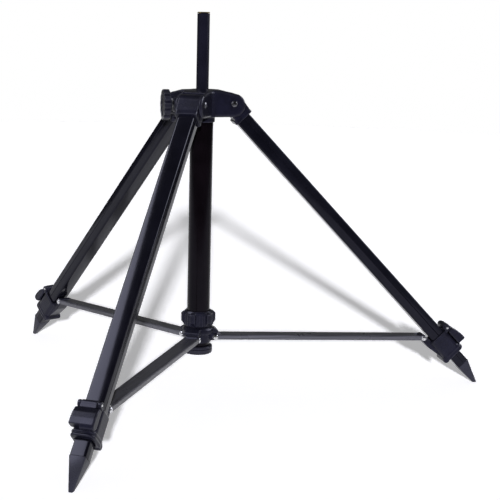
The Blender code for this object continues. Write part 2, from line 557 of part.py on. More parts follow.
def build_housing(leg, frame):
    """Lock housing: a sleeve on the leg's end, with the ear for the arm and the lever's lugs."""
    width = LEG_WIDTH + 2 * HOUSING_WALL
    half = width / 2
    outer, inner = LEG_DEPTH / 2 + HOUSING_OUT, -(LEG_DEPTH / 2 + HOUSING_IN)
    sleeve = square_plug("lock_housing_" + leg, width, outer - inner, HOUSING_CORNER,
                         HOUSING_TOP_S, HOUSING_BOTTOM_S)
    shift(sleeve, (outer + inner) / 2, 0, 0)
    ear_half = TONGUE_WIDTH / 2
    gusset_end = -HOUSING_BOTTOM_S + HOUSING_STEP
    ear = flat("ear", [arc((EAR_N, -EAR_S), EAR_RADIUS, 0, 180, 8)
                       + [(EAR_N - EAR_RADIUS, -HOUSING_TOP_S - 0.002), (inner - 0.001, gusset_end),
                          (inner + 0.002, gusset_end), (EAR_N + EAR_RADIUS, -HOUSING_TOP_S - 0.002)]], ear_half)
    foot_at = (inner + 0.0008, -HOUSING_BOTTOM_S + HOUSING_FOOT_R - 0.001)
    foot = rod("housing_foot", HOUSING_FOOT_R, (foot_at[0], -half + 0.001, foot_at[1]),
               (foot_at[0], half - 0.001, foot_at[1]), 20)
    lip_at = (outer, -HOUSING_BOTTOM_S + HOUSING_LIP_R)
    lip = rod("housing_lip", HOUSING_LIP_R, (lip_at[0], -half + 0.001, lip_at[1]),
              (lip_at[0], half - 0.001, lip_at[1]), 16)
    pin_n, pin_s = LEG_DEPTH / 2 + LEVER_PIN_OUT, HOUSING_TOP_S - 0.001
    lugs = []
    for sign in (1, -1):
        low, high = sorted((sign * (half - GAP), sign * (half - LUG_WIDTH)))
        side = arc((pin_n, -pin_s), LUG_R, -80, 150, 10)
        side += [(outer - 0.0015, -HOUSING_TOP_S - 0.0002), (outer - 0.0015, -HOUSING_TOP_S - 0.0035)]
        lugs.append(shift(flat("lever_lug", [side], (high - low) / 2), 0, (low + high) / 2, 0))
    fuse(sleeve, ear, foot, lip, *lugs)
    leg_room = square_plug("leg_room", LEG_WIDTH + 2 * GAP, LEG_DEPTH + 2 * GAP, LEG_CORNER,
                           EAR_S - 0.02, LEG_END_S + GAP)
    inner_room = square_plug("inner_leg_room", INNER_WIDTH + 2 * (GAP + RUN), INNER_DEPTH + 2 * (GAP + RUN),
                             INNER_CORNER, LEG_END_S - 0.002, HOUSING_BOTTOM_S + 0.01)
    ear_hole = rod("ear_pin_hole", PIN_R + GAP, (EAR_N, -width, -EAR_S), (EAR_N, width, -EAR_S), 16)
    lever_hole = rod("lever_pin_hole", LEVER_PIN_R + GAP, (pin_n, -width, -pin_s), (pin_n, width, -pin_s), 16)
    boss_room_half = half - LUG_WIDTH
    boss_room = rod("boss_room", LEVER_BOSS_R + GAP + RUN, (pin_n, -boss_room_half, -pin_s),
                    (pin_n, boss_room_half, -pin_s), 24)
    cut(sleeve, leg_room, inner_room, boss_room, ear_hole, lever_hole)
    place(sleeve, frame, BLACK_NYLON)
    return pin_n, pin_s, half


def build_lever(leg, pivot, housing_half):
    """Clamp lever about its pin: a boss between the lugs and a full-width plate with a finger notch."""
    boss_half = housing_half - LUG_WIDTH - GAP
    half = LEVER_WIDTH / 2
    lever = rod("lever_" + leg, LEVER_BOSS_R, (0, -boss_half, 0), (0, boss_half, 0), 20)
    start = LUG_R + LUG_CLEAR
    seat = HOUSING_OUT + LEVER_SEAT - LEVER_PIN_OUT
    brow = LEVER_BOSS_R - MERGE
    end_n = LEVER_RISE - LEVER_TIP_THICK / 2
    plate = flat("lever_plate", [[(seat, -start), (brow, -start), (LEVER_RISE, -0.75 * LEVER_LENGTH),
                                  (end_n, -LEVER_LENGTH), (end_n - LEVER_TIP_THICK, -LEVER_LENGTH),
                                  (end_n - LEVER_TIP_THICK, -LEVER_LENGTH + LEVER_NOTCH),
                                  (seat, -0.62 * LEVER_LENGTH)]], half)
    root = flat("lever_root", [[(seat + MERGE, -start - 0.001), (seat + MERGE, -0.001), (brow, -0.001),
                                (brow, -start - 0.001)]], boss_half)
    fuse(lever, plate, root)
    hole = rod("lever_bore", LEVER_PIN_R + GAP, (0, -half, 0), (0, half, 0), 16)
    notch = block("finger_notch", (-LEVER_LENGTH, -half - 0.001, -LEVER_LENGTH - 0.01),
                  (LEVER_LENGTH, -0.001, -LEVER_LENGTH + LEVER_NOTCH))
    cut(lever, hole, notch)
    place(lever, pivot, BLACK_NYLON)


def build_spike(leg, frame):
    """Foot: a plug in the inner leg and a spike that tapers to a small level tip on the floor."""
    low = -SPIKE_TOP_S
    bm = bmesh.new()
    bmesh.ops.create_cube(bm, size=1)
    sin_t, cos_t = math.sin(LEG_TILT), math.cos(LEG_TILT)
    for vert in bm.verts:
        out, across = (1 if vert.co.x > 0 else -1), (1 if vert.co.y > 0 else -1)
        if vert.co.z > 0:
            vert.co = (out * INNER_DEPTH / 2, across * INNER_WIDTH / 2, low - GAP)
            continue
        dr = FOOT_R + out * TIP_HALF_LENGTH - CROWN_PIN_R
        dz = -CROWN_PIN_Z
        vert.co = (PIN_OFFSET + dr * cos_t + dz * sin_t, across * TIP_HALF_WIDTH, -(dr * sin_t - dz * cos_t))
    spike = new_object("foot_spike_" + leg, bm)
    bore_w, bore_d = INNER_WIDTH - 2 * (INNER_WALL + GAP), INNER_DEPTH - 2 * (INNER_WALL + GAP)
    plug = square_plug("spike_plug", bore_w, bore_d, INNER_CORNER - INNER_WALL,
                       SPIKE_TOP_S - SPIKE_PLUG, SPIKE_TOP_S + 0.002)
    fuse(spike, plug)
    place(spike, frame, BLACK_NYLON)


def build_leg(axis, leg, azimuth):
    pivot = empty(f"leg_{leg}_pivot", at_radius(EAR_PIN_R, azimuth, EAR_PIN_Z), (0, -LEG_TILT, azimuth), axis)
    frame = empty(f"leg_{leg}_frame", (-EAR_N, 0, EAR_S), parent=pivot)
    build_leg_cap(leg, frame)
    outer = square_tube("outer_leg_" + leg, LEG_WIDTH, LEG_DEPTH, LEG_WALL, LEG_CORNER,
                        SHOULDER_BOTTOM + GAP, LEG_END_S)
    place(outer, frame, BLACK_ALUMINIUM)
    pin_n, pin_s, housing_half = build_housing(leg, frame)
    place(pin_with_heads("ear_pin_" + leg, ARM_WIDTH / 2 + GAP), pivot, BRIGHT_STEEL)

    lever_pivot = empty(f"lever_{leg}_pivot", (pin_n, 0, -pin_s), parent=frame)
    build_lever(leg, lever_pivot, housing_half)
    lever_pin = rod("lever_pin_" + leg, LEVER_PIN_R, (0, -housing_half + GAP, 0), (0, housing_half - GAP, 0), 16)
    place(lever_pin, lever_pivot, BRIGHT_STEEL)

    inner_top = LEG_END_S - INNER_OVERLAP
    inner = square_tube("inner_leg_" + leg, INNER_WIDTH, INNER_DEPTH, INNER_WALL, INNER_CORNER,
                        inner_top, SPIKE_TOP_S)
    place(inner, frame, BLACK_ALUMINIUM)
    guide = square_plug("inner_leg_guide_" + leg, LEG_BORE_WIDTH - 2 * GAP, LEG_BORE_DEPTH - 2 * GAP,
                        LEG_CORNER - LEG_WALL, inner_top - GAP - LEG_GUIDE, inner_top - GAP)
    place(guide, frame, BLACK_NYLON)
    build_spike(leg, frame)


# ---------------------------------------------------------------- the whole stand
def build_stand():
    axis = empty("post_axis", (0, AXIS_Y, 0))
    build_crown(axis)
    build_pivot_screws(axis)
    build_tube(axis)
    build_post(axis)
    build_knob(axis)
    build_hub(axis)
    for leg, azimuth in AZIMUTHS.items():
        build_arm(axis, leg, azimuth)
        build_leg(axis, leg, azimuth)


build_stand()
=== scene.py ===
"""Looks of the low field tripod: moulded nylon fittings, anodised legs and tubes, enamelled steel arms.

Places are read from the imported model, in metres. Shapes are drawn in millimetres and scaled as each piece
is finished. The crown, tube, post and hub are drawn about the post's axis, and the pieces of a leg in the
leg's own frame: X out of its outer face, Y across it, -Z down it from the top pivot.
"""
import json
import math

import bmesh
import bpy
from mathutils import Matrix, Vector


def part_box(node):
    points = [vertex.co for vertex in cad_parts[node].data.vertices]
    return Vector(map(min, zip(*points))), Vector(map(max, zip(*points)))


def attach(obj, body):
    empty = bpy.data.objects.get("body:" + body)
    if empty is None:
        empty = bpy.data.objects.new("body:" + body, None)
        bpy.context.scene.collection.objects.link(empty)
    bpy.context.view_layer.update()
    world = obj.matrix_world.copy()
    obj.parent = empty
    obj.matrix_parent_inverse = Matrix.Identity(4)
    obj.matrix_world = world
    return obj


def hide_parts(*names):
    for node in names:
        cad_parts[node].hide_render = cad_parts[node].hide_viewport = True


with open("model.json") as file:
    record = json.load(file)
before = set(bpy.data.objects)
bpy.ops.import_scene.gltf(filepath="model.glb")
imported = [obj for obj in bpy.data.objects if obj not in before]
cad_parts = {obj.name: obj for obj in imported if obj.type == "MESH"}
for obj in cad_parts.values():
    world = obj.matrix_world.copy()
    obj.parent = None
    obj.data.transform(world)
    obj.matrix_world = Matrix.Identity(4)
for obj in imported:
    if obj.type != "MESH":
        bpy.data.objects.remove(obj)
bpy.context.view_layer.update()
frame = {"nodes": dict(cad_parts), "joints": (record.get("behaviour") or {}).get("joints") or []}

MM = 0.001


# ---------------------------------------------------------------- places read from the frame
def joint(name):
    """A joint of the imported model, by name."""
    return next(j for j in frame["joints"] if j["name"] == name)


def node_height(name):
    """Lowest and highest Z of a CAD node."""
    low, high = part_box(name)
    return low.z, high.z


tube_low, tube_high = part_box("centre_tube")
AXIS = Vector(((tube_low.x + tube_high.x) / 2, (tube_low.y + tube_high.y) / 2, 0))
TUBE_R = (tube_high.x - tube_low.x) / 2
AZIMUTHS = {"a": math.radians(30), "b": math.radians(-90), "c": math.radians(150)}
CROWN_PIN_R, CROWN_PIN_Z = 36.3 * MM, 361 * MM
PIN_OFFSET = 2.9 * MM                     # top pivot, outward of the leg's centre line
EAR_N = -15.8 * MM                        # arm pivot, inward of the leg's centre line
# Leg B stands on the -Y side, so its places give the slope of every leg and arm.
down_leg = Vector(joint("leg_b_extend")["axis"])
LEG_TILT = math.atan2(-down_leg.y, -down_leg.z)
ear_b = Vector(joint("leg_b_fold")["pos_m"])
ear_out = AXIS.y - ear_b.y - CROWN_PIN_R
EAR_S = ear_out * math.sin(LEG_TILT) + (CROWN_PIN_Z - ear_b.z) * math.cos(LEG_TILT)
HUB_PIN_R = AXIS.y - joint("arm_b_fold")["pos_m"][1]
HUB_PIN_Z = joint("arm_b_fold")["pos_m"][2]
KNOB_AXIS = Vector(joint("knob_turn")["axis"])


def leg_frame(leg):
    """From a leg's own frame to the model's."""
    turn = Matrix.Rotation(AZIMUTHS[leg], 4, "Z") @ Matrix.Translation((CROWN_PIN_R, 0, CROWN_PIN_Z))
    tilt = Matrix.Rotation(-LEG_TILT, 4, "Y")
    return Matrix.Translation(AXIS) @ turn @ tilt @ Matrix.Translation((-PIN_OFFSET, 0, 0))


def spoke_frame(azimuth):
    """From a frame whose X points away from the post at that azimuth to the model's."""
    return Matrix.Translation(AXIS) @ Matrix.Rotation(azimuth, 4, "Z")


# ---------------------------------------------------------------- materials
def colour(hex_value):
    """An sRGB hex colour as linear RGBA."""
    channels = [int(hex_value[i:i + 2], 16) / 255 for i in (0, 2, 4)]
    linear = [c / 12.92 if c <= 0.04045 else ((c + 0.055) / 1.055) ** 2.4 for c in channels]
    return (*linear, 1)


def node(tree, kind, settings=None, links=None):
    """Add a node, set its properties, inputs or a ramp's two stops, and link sockets into it."""
    made = tree.nodes.new(kind)
    for key, value in (settings or {}).items():
        if key == "stops":
            for element, (position, tone) in zip(made.color_ramp.elements, value):
                element.position, element.color = position, tone
        elif key in made.inputs:
            made.inputs[key].default_value = value
        else:
            setattr(made, key, value)
    for key, socket in (links or {}).items():
        tree.links.new(socket, made.inputs[key])
    return made


def new_material(name):
    """A material with its node tree, its shader and its Object coordinates."""
    made = bpy.data.materials.new(name)
    made.use_nodes = True
    tree = made.node_tree
    shader = tree.nodes["Principled BSDF"]
    place = node(tree, "ShaderNodeTexCoord").outputs["Object"]
    return made, tree, shader, place


def grey(value):
    """A linear grey as RGBA."""
    return (value, value, value, 1)


def worn_through(tree, mask, tone, worn):
    """A tone that gives way to a worn one where the mask is light."""
    mixed = node(tree, "ShaderNodeMix", {"data_type": "RGBA"}, {"Factor": mask, "A": tone})
    mixed.inputs["B"].default_value = worn
    return mixed.outputs["Result"]


# Sizes of the patterns, in millimetres. Real die lines and mould grain are finer than shows at this
# distance, so they are drawn as coarse as they need to be to break up a reflection.
SCUFF_MM, NYLON_GRAIN_MM, NYLON_CLOUD_MM = 9, 0.5, 14
DIE_LINE_MM, OXIDE_CLOUD_MM = 0.35, 30
ROLLING_LINE_MM, ENAMEL_CLOUD_MM = 1.3, 22
TOOL_MARK_MM, TARNISH_MM = 0.4, 2.5
VIOLET_CAST = (0.80, 0.80, 1.0, 1)


def edge_wear(tree, tone, worn, amount):
    """Lightens outward edges, where handling polishes the surface."""
    pointed = node(tree, "ShaderNodeNewGeometry").outputs["Pointiness"]
    mask = node(tree, "ShaderNodeValToRGB", {"stops": [(0.50, grey(0)), (0.60, grey(amount))]},
                {"Fac": pointed}).outputs["Color"]
    return worn_through(tree, mask, tone, worn)


def scuffs(tree, place, tone, worn, amount):
    """Sparse small rubs, a few millimetres across, from years of folding and carrying."""
    rubs = {"Scale": 1 / (SCUFF_MM * MM), "Detail": 5, "Roughness": 0.7}
    patch = node(tree, "ShaderNodeTexNoise", rubs, {"Vector": place}).outputs["Fac"]
    mask = node(tree, "ShaderNodeValToRGB", {"stops": [(0.66, grey(0)), (0.80, grey(amount))]},
                {"Fac": patch}).outputs["Color"]
    return worn_through(tree, mask, tone, worn)


def surface(tree, shader, gloss, roughness, relief, strength, depth_mm):
    """Roughness that follows one pattern between two values, and a bump that follows another."""
    low, high = roughness
    rough = node(tree, "ShaderNodeMapRange", {"From Min": 0.3, "From Max": 0.7, "To Min": low, "To Max": high},
                 {"Value": gloss})
    tree.links.new(rough.outputs["Result"], shader.inputs["Roughness"])
    bump = node(tree, "ShaderNodeBump", {"Strength": strength, "Distance": depth_mm * MM}, {"Height": relief})
    tree.links.new(bump.outputs["Normal"], shader.inputs["Normal"])


def black_dye(shader, sheen):
    """Black dyes in oxide and nylon reflect less than clear plastic does, and a little violet."""
    shader.inputs["Specular IOR Level"].default_value = sheen
    shader.inputs["Specular Tint"].default_value = VIOLET_CAST


def moulded_nylon(name, base, lighter, roughness, sheen, grain_mm=NYLON_GRAIN_MM, depth=0.25):
    """Glass-filled nylon, injection moulded: a fine eroded grain that breaks up its sheen."""
    made, tree, shader, place = new_material(name)
    eroded = {"Scale": 1 / (grain_mm * MM), "Detail": 4, "Roughness": 0.6}
    grain = node(tree, "ShaderNodeTexNoise", eroded, {"Vector": place}).outputs["Fac"]
    cloud = node(tree, "ShaderNodeTexNoise", {"Scale": 1 / (NYLON_CLOUD_MM * MM), "Detail": 3},
                 {"Vector": place}).outputs["Fac"]
    tone = node(tree, "ShaderNodeValToRGB", {"stops": [(0.35, colour(base)), (0.68, colour(lighter))]},
                {"Fac": cloud}).outputs["Color"]
    tree.links.new(edge_wear(tree, tone, colour("3c3c44"), 0.35), shader.inputs["Base Color"])
    surface(tree, shader, grain, (roughness - 0.06, roughness + 0.09), grain, depth, 0.05)
    black_dye(shader, sheen)
    return made


def anodised(name, base, lighter, roughness, sheen, along):
    """Extruded and dyed aluminium: fine die lines along the length under a clear oxide."""
    made, tree, shader, place = new_material(name)
    turned = node(tree, "ShaderNodeMapping", {"Rotation": along}, {"Vector": place})
    drawn = node(tree, "ShaderNodeMapping", {"Scale": (1, 1, 0.006)}, {"Vector": turned.outputs["Vector"]})
    extruded = {"Scale": 1 / (DIE_LINE_MM * MM), "Detail": 3, "Roughness": 0.65}
    lines = node(tree, "ShaderNodeTexNoise", extruded, {"Vector": drawn.outputs["Vector"]}).outputs["Fac"]
    cloud = node(tree, "ShaderNodeTexNoise", {"Scale": 1 / (OXIDE_CLOUD_MM * MM), "Detail": 2},
                 {"Vector": place}).outputs["Fac"]
    tone = node(tree, "ShaderNodeValToRGB", {"stops": [(0.3, colour(base)), (0.7, colour(lighter))]},
                {"Fac": cloud}).outputs["Color"]
    tree.links.new(scuffs(tree, place, tone, colour("1c1c22"), 0.5), shader.inputs["Base Color"])
    surface(tree, shader, lines, (roughness - 0.03, roughness + 0.05), lines, 0.10, 0.02)
    black_dye(shader, sheen)
    return made


def enamel(name, base, lighter, roughness, azimuth):
    """Thin black enamel on folded sheet steel: the sheet's rolling lines show through along the arm."""
    made, tree, shader, place = new_material(name)
    turned = node(tree, "ShaderNodeMapping", {"Rotation": (0, 0, -azimuth)}, {"Vector": place})
    drawn = node(tree, "ShaderNodeMapping", {"Scale": (0.008, 1, 1)}, {"Vector": turned.outputs["Vector"]})
    rolled = {"Scale": 1 / (ROLLING_LINE_MM * MM), "Detail": 4, "Roughness": 0.6}
    lines = node(tree, "ShaderNodeTexNoise", rolled, {"Vector": drawn.outputs["Vector"]}).outputs["Fac"]
    cloud = node(tree, "ShaderNodeTexNoise", {"Scale": 1 / (ENAMEL_CLOUD_MM * MM), "Detail": 3},
                 {"Vector": place}).outputs["Fac"]
    tone = node(tree, "ShaderNodeValToRGB", {"stops": [(0.34, colour(base)), (0.66, colour(lighter))]},
                {"Fac": lines}).outputs["Color"]
    tree.links.new(scuffs(tree, place, tone, colour("46464c"), 0.5), shader.inputs["Base Color"])
    surface(tree, shader, cloud, (roughness - 0.05, roughness + 0.08), lines, 0.25, 0.04)
    return made


def bare_metal(name, base, darker, roughness):
    """Plated steel or brass: bright, with faint tool marks and a little tarnish."""
    made, tree, shader, place = new_material(name)
    marks = node(tree, "ShaderNodeTexNoise", {"Scale": 1 / (TOOL_MARK_MM * MM), "Detail": 4},
                 {"Vector": place}).outputs["Fac"]
    cloud = node(tree, "ShaderNodeTexNoise", {"Scale": 1 / (TARNISH_MM * MM), "Detail": 2},
                 {"Vector": place}).outputs["Fac"]
    tone = node(tree, "ShaderNodeValToRGB", {"stops": [(0.35, colour(darker)), (0.6, colour(base))]},
                {"Fac": cloud}).outputs["Color"]
    tree.links.new(tone, shader.inputs["Base Color"])
    surface(tree, shader, marks, (roughness - 0.05, roughness + 0.1), marks, 0.08, 0.02)
    shader.inputs["Metallic"].default_value = 1.0
    return made


UPRIGHT = (0, 0, 0)
# Moulded nylon: near black, with a broken satin sheen and edges that have gone a little grey.
NYLON = moulded_nylon("moulded_black_nylon", "08080f", "0d0d17", 0.27, 0.17)
# The same nylon from a smoother mould, on what fingers hold: a more even sheen.
SATIN_NYLON = moulded_nylon("satin_black_nylon", "08080f", "0d0d17", 0.28, 0.17, 0.7, 0.18)
# Hard anodised and dyed: the darkest piece, with hardly more than a thin streak of light down it.
TUBE_FINISH = anodised("anodised_black_tube", "030203", "060406", 0.14, 0.10, UPRIGHT)
# Anodised post, rubbed by its clamp: as black, but duller and softer in its shine.
POST_FINISH = anodised("anodised_black_post", "08080f", "0d0d16", 0.26, 0.16, UPRIGHT)
# Thin enamel on folded steel: charcoal webs with lengthwise streaks, paler than the legs.
ARM_FINISH = {leg: enamel("thin_black_enamel_" + leg, "1b1b20", "3a3a42", 0.30, azimuth)
              for leg, azimuth in AZIMUTHS.items()}
# Bright plated steel: small clear glints on rivet heads and pins.
STEEL = bare_metal("bright_plated_steel", "d6d6d8", "a9a9ad", 0.24)
# Burnished steel: the crown's rivets, a duller grey disc than the bright ones.
RIVET_STEEL = bare_metal("burnished_rivet_steel", "77777b", "4c4c50", 0.34)
# Turned brass, a little tarnished: a thin yellow ring at the top of the post.
BRASS = bare_metal("turned_brass", "8f7c46", "6e6036", 0.33)


def leg_finish(name, leg, base, lighter, roughness, sheen):
    """Anodised finish with its die lines turned to run down that leg."""
    to_leg = leg_frame(leg).to_3x3().inverted().to_euler()
    return anodised(name + "_" + leg, base, lighter, roughness, sheen, tuple(to_leg))


# Anodised leg extrusion: black and glossy enough to carry one sharp band of light along a face.
LEG_FINISH = {leg: leg_finish("anodised_black_leg", leg, "050509", "09090f", 0.12, 0.17) for leg in AZIMUTHS}


# ---------------------------------------------------------------- modelling helpers
SAME_POINT = 0.002                             # millimetres


def arc(centre, radius, start, end, steps):
    """Points on an arc, degrees measured from +X towards the second axis."""
    cx, cy = centre
    angles = [math.radians(start + (end - start) * i / steps) for i in range(steps + 1)]
    return [(cx + radius * math.cos(a), cy + radius * math.sin(a)) for a in angles]


def box_outline(width_x, width_y, corner, steps=5):
    """Outline of a rectangle with round corners, centred on the origin."""
    hx, hy = width_x / 2 - corner, width_y / 2 - corner
    outline = []
    for cx, cy, start in ((hx, hy, 0), (-hx, hy, 90), (-hx, -hy, 180), (hx, -hy, 270)):
        outline += arc((cx, cy), corner, start, start + 90, steps)
    return outline


def add_slab(bm, outline, low, high, axis="Y"):
    """A flat outline made into a slab: the outline's two axes are the other two, in order."""
    def corner(u, v, w):
        return {"Y": (u, w, v), "Z": (u, v, w), "X": (w, u, v)}[axis]
    face = bm.faces.new([bm.verts.new(corner(u, v, low)) for u, v in outline])
    moved = bmesh.ops.extrude_face_region(bm, geom=[face])["geom"]
    bmesh.ops.translate(bm, verts=[g for g in moved if isinstance(g, bmesh.types.BMVert)],
                        vec=Vector(corner(0, 0, high - low)))


def add_turned(bm, profile, steps=64, matrix=None):
    """A profile of (radius, height) points spun about Z, then placed by a matrix."""
    spun = bmesh.new()
    verts = [spun.verts.new((r, 0, z)) for r, z in profile]
    edges = [spun.edges.new(pair) for pair in zip(verts, verts[1:])]
    bmesh.ops.spin(spun, geom=verts + edges, cent=(0, 0, 0), axis=(0, 0, 1), angle=math.tau,
                   steps=steps, use_merge=True, use_duplicate=False)
    merge(bm, spun, matrix)


def add_rod(bm, radius, start, end, segments=48):
    """A round rod from one point to another."""
    start, end = Vector(start), Vector(end)
    turn = (end - start).to_track_quat("Z", "Y").to_matrix().to_4x4()
    place = Matrix.Translation((start + end) / 2) @ turn
    bmesh.ops.create_cone(bm, cap_ends=True, segments=segments, radius1=radius, radius2=radius,
                          depth=(end - start).length, matrix=place)


def round_edges(bm, width, segments=3, angle=30):
    """Bevel every edge sharper than the angle."""
    sharp = [e for e in bm.edges if len(e.link_faces) == 2 and e.calc_face_angle(0) > math.radians(angle)]
    bmesh.ops.bevel(bm, geom=sharp, offset=width, offset_type="OFFSET", segments=segments, profile=0.5,
                    affect="EDGES", material=-1, clamp_overlap=True)


def piece(name, bm, body, finish, nodes, matrix, smooth=35):
    """Turn a bmesh drawn in millimetres into a finished piece that rides on a body.

    It stands for its CAD nodes, and its place is in its mesh.
    """
    bmesh.ops.remove_doubles(bm, verts=bm.verts, dist=SAME_POINT)
    bmesh.ops.recalc_face_normals(bm, faces=bm.faces)
    bm.transform(matrix @ Matrix.Scale(MM, 4))
    mesh = bpy.data.meshes.new(name)
    bm.to_mesh(mesh)
    bm.free()
    mesh.shade_smooth()
    mesh.set_sharp_from_angle(angle=math.radians(smooth))
    obj = bpy.data.objects.new(name, mesh)
    bpy.context.scene.collection.objects.link(obj)
    mesh.materials.append(finish)
    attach(obj, body)
    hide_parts(*nodes)


def scratch(bm, name):
    """A helper object from a bmesh, closed and facing out."""
    bmesh.ops.remove_doubles(bm, verts=bm.verts, dist=SAME_POINT)
    bmesh.ops.recalc_face_normals(bm, faces=bm.faces)
    mesh = bpy.data.meshes.new(name)
    bm.to_mesh(mesh)
    bm.free()
    made = bpy.data.objects.new(name, mesh)
    bpy.context.scene.collection.objects.link(made)
    return made


def bake(obj):
    """Give an object its evaluated mesh in place of its own."""
    bpy.context.view_layer.update()
    mesh = bpy.data.meshes.new_from_object(obj.evaluated_get(bpy.context.evaluated_depsgraph_get()))
    obj.modifiers.clear()
    obj.data = mesh


def melt(obj, voxel):
    """Remesh overlapping shells into one skin."""
    step = obj.modifiers.new("melt", "REMESH")
    step.mode, step.voxel_size = "VOXEL", voxel
    bake(obj)


def carve(obj, cutter, operation="DIFFERENCE"):
    """Cut one closed shape with another; the cutter goes."""
    tool = scratch(cutter, "carving")
    step = obj.modifiers.new("carve", "BOOLEAN")
    step.operation, step.object, step.solver = operation, tool, "MANIFOLD"
    bake(obj)
    bpy.data.objects.remove(tool)


def as_bmesh(obj):
    """An object's mesh as a bmesh; the object goes."""
    bm = bmesh.new()
    bm.from_mesh(obj.data)
    bpy.data.objects.remove(obj)
    return bm


def moulding(forms, cuts, voxel, smoothing):
    """Overlapping forms melted into one skin, openings cut through it, and every edge softened."""
    body = scratch(forms, "form")
    melt(body, voxel)
    for cutter in cuts:
        carve(body, cutter)
    if cuts:
        melt(body, voxel)
    soften = body.modifiers.new("soften", "SMOOTH")
    soften.factor, soften.iterations = 0.5, smoothing
    bake(body)
    return as_bmesh(body)


def slab(outline, low, high, axis="Y"):
    """A slab alone, as add_slab makes it."""
    bm = bmesh.new()
    add_slab(bm, outline, low, high, axis)
    return bm


def rod(radius, start, end, segments=48):
    """A rod alone, as add_rod makes it."""
    bm = bmesh.new()
    add_rod(bm, radius, start, end, segments)
    return bm


def merge(target, source, matrix=None):
    """Add one bmesh to another, turned by a matrix."""
    if matrix is not None:
        source.transform(matrix)
    mesh = bpy.data.meshes.new("merge")
    source.to_mesh(mesh)
    source.free()
    target.from_mesh(mesh)
    bpy.data.meshes.remove(mesh)
    return target


def turn(angle):
    """A turn about the post's axis."""
    return Matrix.Rotation(angle, 4, "Z")


# ---------------------------------------------------------------- crown
CROWN_BOTTOM, CROWN_CREST, CROWN_NECK = 344.7, 377.8, 338.0
LOBE_WIDTH, FORK_GAP, ROOF_END = 34.0, 27.6, 30.0
TUBE_SEAT = 351.5                              # top of the bore that holds the tube
POST_R, POST_BORE_R = 7.5, 6.0
PIN_R, PIN_Z = CROWN_PIN_R / MM, CROWN_PIN_Z / MM
LOBE_END_R, LOBE_END_DROP = 14.25, 2.0
BARREL_R = 12.0
BOSS_Z, BOSS_R, BOSS_END = 358.6, 8.5, 35.5
BELOW, ABOVE = 320, 400                        # heights clear of the crown, for what is cut out of it
CROWN_RIVET = (2.4, 3.7, 1.3)                  # radius of the shank, radius and height of the head
ARM_RIVET = (2.2, 3.3, 1.25)


def crown():
    """Three forked lobes round a domed body, with a boss for the clamp screw."""
    forms = bmesh.new()
    add_turned(forms, [(0, CROWN_CREST), (9, CROWN_CREST), (15, CROWN_CREST - 0.5), (19.5, CROWN_CREST - 1.5),
                       (21, CROWN_CREST - 3.4), (21, CROWN_BOTTOM), (15.8, CROWN_BOTTOM),
                       (15.8, CROWN_NECK), (0, CROWN_NECK)], 96)
    cuts = []
    half = FORK_GAP / 2
    for azimuth in AZIMUTHS.values():
        side = [(8, CROWN_BOTTOM)]
        side += arc((PIN_R, PIN_Z - LOBE_END_DROP), LOBE_END_R, -90, 76, 20)
        side += [(30, CROWN_CREST - 3.0), (22, CROWN_CREST - 1.2), (8, CROWN_CREST - 0.4)]
        lobe = slab(side, -LOBE_WIDTH / 2, LOBE_WIDTH / 2)
        round_edges(lobe, 3.2, 5)
        merge(forms, lobe, turn(azimuth))
        room = [(60, BELOW), (60, ABOVE), (ROOF_END, ABOVE)]
        room += arc((PIN_R, PIN_Z), BARREL_R + 0.5, 120, 180, 12) + [(PIN_R - BARREL_R - 0.5, BELOW)]
        cuts.append(merge(bmesh.new(), slab(room, -half, half), turn(azimuth)))
        hole = rod(2.7, (PIN_R, -LOBE_WIDTH, PIN_Z), (PIN_R, LOBE_WIDTH, PIN_Z))
        cuts.append(merge(bmesh.new(), hole, turn(azimuth)))
    to_knob = turn(math.atan2(KNOB_AXIS.y, KNOB_AXIS.x))
    merge(forms, rod(BOSS_R, (10, 0, BOSS_Z), (BOSS_END, 0, BOSS_Z)), to_knob)
    cuts.append(rod(TUBE_R / MM + 0.3, (0, 0, BELOW), (0, 0, TUBE_SEAT), 96))
    cuts.append(rod(POST_R + 0.3, (0, 0, BELOW), (0, 0, ABOVE), 96))
    cuts.append(merge(bmesh.new(), rod(3.3, (4, 0, BOSS_Z), (50, 0, BOSS_Z)), to_knob))
    bm = moulding(forms, cuts, 0.6, 5)
    piece("crown_moulding", bm, "frame", NYLON, ["crown"], spoke_frame(0), smooth=60)


def rivet(name, body, node_name, span, headed, sizes, matrix, finish=STEEL):
    """A rivet along Y, with a domed head on each end that is headed."""
    shank, head, height = sizes
    bm = bmesh.new()
    dome = [(0, height)] + [(head * math.sin(math.radians(a)), height * math.cos(math.radians(a)))
                            for a in (18, 36, 54, 72, 85)] + [(head, 0), (0, 0)]
    low, high = span
    add_rod(bm, shank, (0, low, 0), (0, high, 0), 32)
    for end, way in ((high, -90), (low, 90)):
        if end in headed:
            place = Matrix.Translation((0, end, 0)) @ Matrix.Rotation(math.radians(way), 4, "X")
            add_turned(bm, dome, 40, place)
    piece(name, bm, body, finish, [node_name], matrix)


def crown_rivets():
    """Two rivets for each leg, one through each cheek of its fork, headed outside."""
    for leg, azimuth in AZIMUTHS.items():
        place = spoke_frame(azimuth) @ Matrix.Translation((CROWN_PIN_R, 0, CROWN_PIN_Z))
        for side, sign in (("left", 1), ("right", -1)):
            inner, outer = sign * (FORK_GAP / 2 + 0.3), sign * (LOBE_WIDTH / 2 + 0.2)
            rivet(f"crown_rivet_{leg}_{side}", "frame", f"pivot_screw_{leg}_{side}", sorted((inner, outer)),
                  [outer], CROWN_RIVET, place, RIVET_STEEL)


# ---------------------------------------------------------------- tube, post and cap
def ring_solid(outer, inner, low, high, edge=0.3):
    """Profile of a tube standing on Z, its rims lightly chamfered."""
    return [(outer, low + edge), (outer, high - edge), (outer - edge, high), (inner + edge, high),
            (inner, high - edge), (inner, low + edge), (inner + edge, low), (outer - edge, low),
            (outer, low + edge)]


